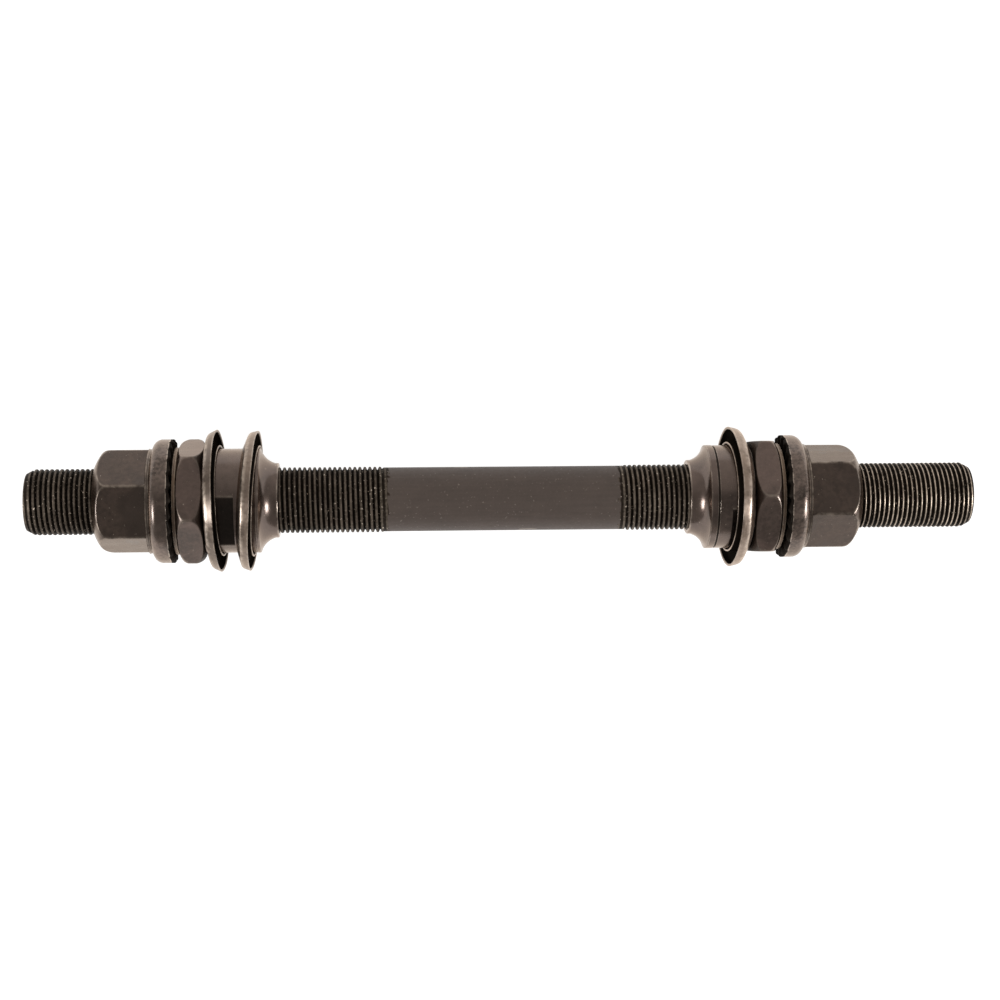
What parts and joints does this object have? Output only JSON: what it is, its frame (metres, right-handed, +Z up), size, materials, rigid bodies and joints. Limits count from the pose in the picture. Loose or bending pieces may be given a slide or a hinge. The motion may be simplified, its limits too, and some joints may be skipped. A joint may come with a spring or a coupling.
{
  "type": "bicycle hub axle",
  "caption": "Solid threaded hub axle carrying bearing cones, dust caps, locknuts, thin washers and domed hex nuts with captive serrated washers.",
  "frame": {"origin": "middle of the axle's length, on its axis", "axes": "+X along the axle towards the end with the single dust cap, +Z up, towards the viewer of the picture, which looks down on the part as it lies"},
  "size_m": [0.2, 0.0301, 0.0301],
  "materials": {
    "axle_steel": "black oxide, matte, bright worn thread crests",
    "nut_steel": "black oxide, satin, worn edges and oily brown stains",
    "washer_steel": "black oxide worn to mottled grey",
    "thin_washer_steel": "dull tan",
    "locknut_steel": "black oxide, satin, bright worn corners",
    "cap_steel": "pressed sheet, dull grey with bright edges, dark inside",
    "cone_steel": "hardened dark steel, smooth satin"
  },
  "bodies": {
    "axle": {"axle": "axle_steel"},
    "left_caps": {"left_outer_dust_cap": "cap_steel", "left_inner_dust_cap": "cap_steel"},
    "left_cone": {"left_cone": "cone_steel"},
    "left_thin_washer": {"left_thin_washer": "thin_washer_steel"},
    "left_locknut": {"left_locknut": "locknut_steel"},
    "left_serrated_washer": {"left_serrated_washer": "washer_steel"},
    "left_axle_nut": {"left_axle_nut": "nut_steel"},
    "right_cap": {"right_dust_cap": "cap_steel"},
    "right_cone": {"right_cone": "cone_steel"},
    "right_thin_washer": {"right_thin_washer": "thin_washer_steel"},
    "right_locknut": {"right_locknut": "locknut_steel"},
    "right_serrated_washer": {"right_serrated_washer": "washer_steel"},
    "right_axle_nut": {"right_axle_nut": "nut_steel"}
  },
  "joints": [
    {"name": "left_cone_travel", "type": "slide", "parent": "axle", "child": "left_caps", "axis": [1, 0, 0], "range_m": [0, 0.02101]},
    {"name": "left_cone_turn", "type": "hinge", "parent": "left_caps", "child": "left_cone", "pos_m": [0, 0, 0], "axis": [1, 0, 0], "range_deg": [0, 7145.6]},
    {"name": "left_locknut_travel", "type": "slide", "parent": "axle", "child": "left_thin_washer", "axis": [-1, 0, 0], "range_m": [0, 0.03801]},
    {"name": "left_locknut_turn", "type": "hinge", "parent": "left_thin_washer", "child": "left_locknut", "pos_m": [0, 0, 0], "axis": [-1, 0, 0], "range_deg": [0, 12930.1]},
    {"name": "left_axle_nut_travel", "type": "slide", "parent": "left_thin_washer", "child": "left_serrated_washer", "axis": [-1, 0, 0], "range_m": [0, 0.03301]},
    {"name": "left_axle_nut_turn", "type": "hinge", "parent": "left_serrated_washer", "child": "left_axle_nut", "pos_m": [0, 0, 0], "axis": [-1, 0, 0], "range_deg": [0, 11228.7]},
    {"name": "right_cone_travel", "type": "slide", "parent": "axle", "child": "right_cap", "axis": [-1, 0, 0], "range_m": [0, 0.01301]},
    {"name": "right_cone_turn", "type": "hinge", "parent": "right_cap", "child": "right_cone", "pos_m": [0, 0, 0], "axis": [-1, 0, 0], "range_deg": [0, 4423.4]},
    {"name": "right_locknut_travel", "type": "slide", "parent": "axle", "child": "right_thin_washer", "axis": [1, 0, 0], "range_m": [0, 0.04801]},
    {"name": "right_locknut_turn", "type": "hinge", "parent": "right_thin_washer", "child": "right_locknut", "pos_m": [0, 0, 0], "axis": [1, 0, 0], "range_deg": [0, 17280]},
    {"name": "right_axle_nut_travel", "type": "slide", "parent": "right_thin_washer", "child": "right_serrated_washer", "axis": [1, 0, 0], "range_m": [0, 0.04301]},
    {"name": "right_axle_nut_turn", "type": "hinge", "parent": "right_serrated_washer", "child": "right_axle_nut", "pos_m": [0, 0, 0], "axis": [1, 0, 0], "range_deg": [0, 15480]}
  ],
  "couplings": [
    {"joint": "left_cone_travel", "follows": "left_cone_turn", "m_per_rad": 0.00016839},
    {"joint": "left_locknut_travel", "follows": "left_locknut_turn", "m_per_rad": 0.00016839},
    {"joint": "left_axle_nut_travel", "follows": "left_axle_nut_turn", "m_per_rad": 0.00016839},
    {"joint": "right_cone_travel", "follows": "right_cone_turn", "m_per_rad": 0.00016839},
    {"joint": "right_locknut_travel", "follows": "right_locknut_turn", "m_per_rad": 0.00015915},
    {"joint": "right_axle_nut_travel", "follows": "right_axle_nut_turn", "m_per_rad": 0.00015915}
  ]
}
